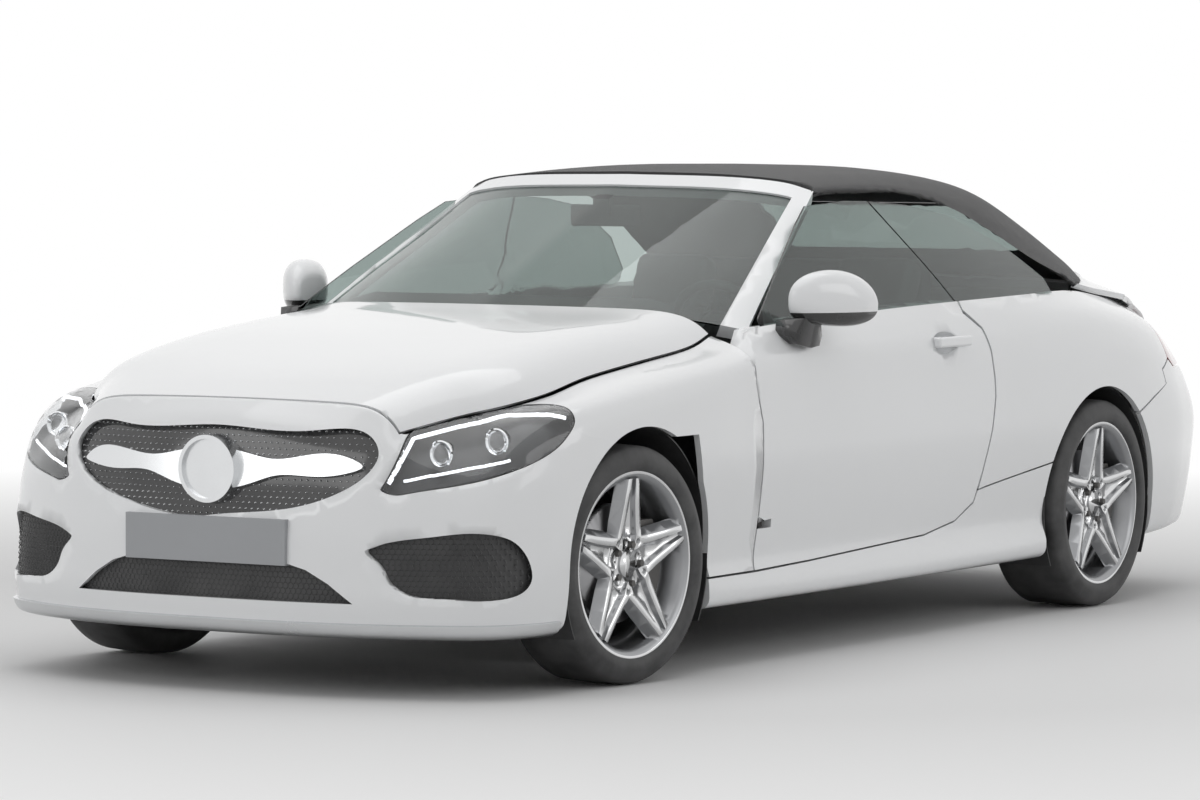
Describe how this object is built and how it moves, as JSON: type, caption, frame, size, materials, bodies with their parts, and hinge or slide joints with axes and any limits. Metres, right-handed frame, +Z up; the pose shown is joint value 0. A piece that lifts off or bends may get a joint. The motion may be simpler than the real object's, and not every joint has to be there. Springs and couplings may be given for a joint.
{
  "type": "convertible car",
  "caption": "Two-door four-seat convertible with its fabric roof closed, opening doors, bonnet and boot lid, steered front wheels and turning wheels.",
  "frame": {"origin": "on the ground under the middle of the car", "axes": "+Z up, -Y towards the nose, +X towards the left side of the car"},
  "size_m": [2.015, 4.7044, 1.4091],
  "materials": {
    "paint": "gloss white paint",
    "tyre": "matte black",
    "alloy": "machined and lacquered",
    "iron": "dull grey",
    "tinted_glass": "green grey tint",
    "clear_glass": "clear",
    "black_plastic": "black",
    "bright_trim": "satin bright",
    "canvas": "black woven cloth",
    "leather": "black",
    "red_lens": "red",
    "plate_grey": "blank grey plate"
  },
  "bodies": {
    "body": {"bumper_grilles": "black_plastic", "centre_console": "black_plastic", "cowl_panel": "black_plastic", "dashboard": "black_plastic", "engine_block": "iron", "exhaust": "iron", "floor_pan": "black_plastic", "front_bumper": "paint", "front_seats": "leather", "front_subframe": "iron", "front_trim_blade": "bright_trim", "front_wings": "paint", "grille_bars": "bright_trim", "headlamp_covers": "clear_glass", "headlamps": "black_plastic", "hinge_brackets": "iron", "interior_mirror": "black_plastic", "number_plate": "plate_grey", "quarter_glasses": "tinted_glass", "quarter_panels": "paint", "radiator_grille": "black_plastic", "rear_axle": "iron", "rear_bumper": "paint", "rear_seat": "leather", "rear_window": "tinted_glass", "sill_skirts": "paint", "soft_top": "canvas", "tail_lamps": "red_lens", "tonneau_cover": "paint", "wheel_arch_liners": "black_plastic", "windscreen": "tinted_glass", "windscreen_frame": "paint"},
    "door_left": {"door_left": "paint", "door_glass_left": "tinted_glass", "door_mirror_left": "paint", "door_handle_left": "paint"},
    "door_right": {"door_right": "paint", "door_glass_right": "tinted_glass", "door_mirror_right": "paint", "door_handle_right": "paint"},
    "bonnet": {"bonnet": "paint", "bonnet_hinge_arms": "iron"},
    "boot_lid": {"boot_lid": "paint", "lid_hinge_arms": "iron"},
    "knuckle_left": {"knuckle_left": "iron"},
    "knuckle_right": {"knuckle_right": "iron"},
    "steering_wheel": {"steering_wheel": "black_plastic"},
    "wheel_front_left": {"rim_front_left": "alloy", "tyre_front_left": "tyre", "brake_disc_front_left": "iron"},
    "wheel_front_right": {"rim_front_right": "alloy", "tyre_front_right": "tyre", "brake_disc_front_right": "iron"},
    "wheel_rear_left": {"rim_rear_left": "alloy", "tyre_rear_left": "tyre", "brake_disc_rear_left": "iron"},
    "wheel_rear_right": {"rim_rear_right": "alloy", "tyre_rear_right": "tyre", "brake_disc_rear_right": "iron"}
  },
  "joints": [
    {"name": "left_door_hinge", "type": "hinge", "parent": "body", "child": "door_left", "pos_m": [0.84056, -0.80738, 0.55], "axis": [0, 0, -1], "range_deg": [0, 68]},
    {"name": "right_door_hinge", "type": "hinge", "parent": "body", "child": "door_right", "pos_m": [-0.84056, -0.80738, 0.55], "axis": [0, 0, 1], "range_deg": [0, 68]},
    {"name": "bonnet_hinge", "type": "hinge", "parent": "body", "child": "bonnet", "pos_m": [0, -0.84944, 0.92994], "axis": [-1, 0, 0], "range_deg": [0, 45]},
    {"name": "boot_lid_hinge", "type": "hinge", "parent": "body", "child": "boot_lid", "pos_m": [0, 1.81555, 0.97207], "axis": [1, 0, 0], "range_deg": [0, 62]},
    {"name": "left_steering_swivel", "type": "hinge", "parent": "body", "child": "knuckle_left", "pos_m": [0.7395, -1.5495, 0.3313], "axis": [0, 0, 1], "range_deg": [-29.46, 40.54]},
    {"name": "right_steering_swivel", "type": "hinge", "parent": "body", "child": "knuckle_right", "pos_m": [-0.7395, -1.5495, 0.3313], "axis": [0, 0, 1], "range_deg": [-29.46, 40.54]},
    {"name": "steering_wheel_turn", "type": "hinge", "parent": "body", "child": "steering_wheel", "pos_m": [0.37, -0.19936, 0.90007], "axis": [0, 0.9135, 0.4067], "range_deg": [-413.4, 568.6]},
    {"name": "front_left_wheel_spin", "type": "hinge", "parent": "knuckle_left", "child": "wheel_front_left", "pos_m": [0.7813, -1.55356, 0.3313], "axis": [0.9953, -0.0965, 0], "continuous": true},
    {"name": "front_right_wheel_spin", "type": "hinge", "parent": "knuckle_right", "child": "wheel_front_right", "pos_m": [-0.7813, -1.54544, 0.3313], "axis": [0.9953, -0.0965, 0], "continuous": true},
    {"name": "rear_left_wheel_spin", "type": "hinge", "parent": "body", "child": "wheel_rear_left", "pos_m": [0.773, 1.2905, 0.3305], "axis": [1, 0, 0], "continuous": true},
    {"name": "rear_right_wheel_spin", "type": "hinge", "parent": "body", "child": "wheel_rear_right", "pos_m": [-0.773, 1.2905, 0.3305], "axis": [1, 0, 0], "continuous": true}
  ],
  "couplings": [
    {"joint": "right_steering_swivel", "follows": "left_steering_swivel", "ratio": 1},
    {"joint": "steering_wheel_turn", "follows": "left_steering_swivel", "ratio": 14}
  ]
}
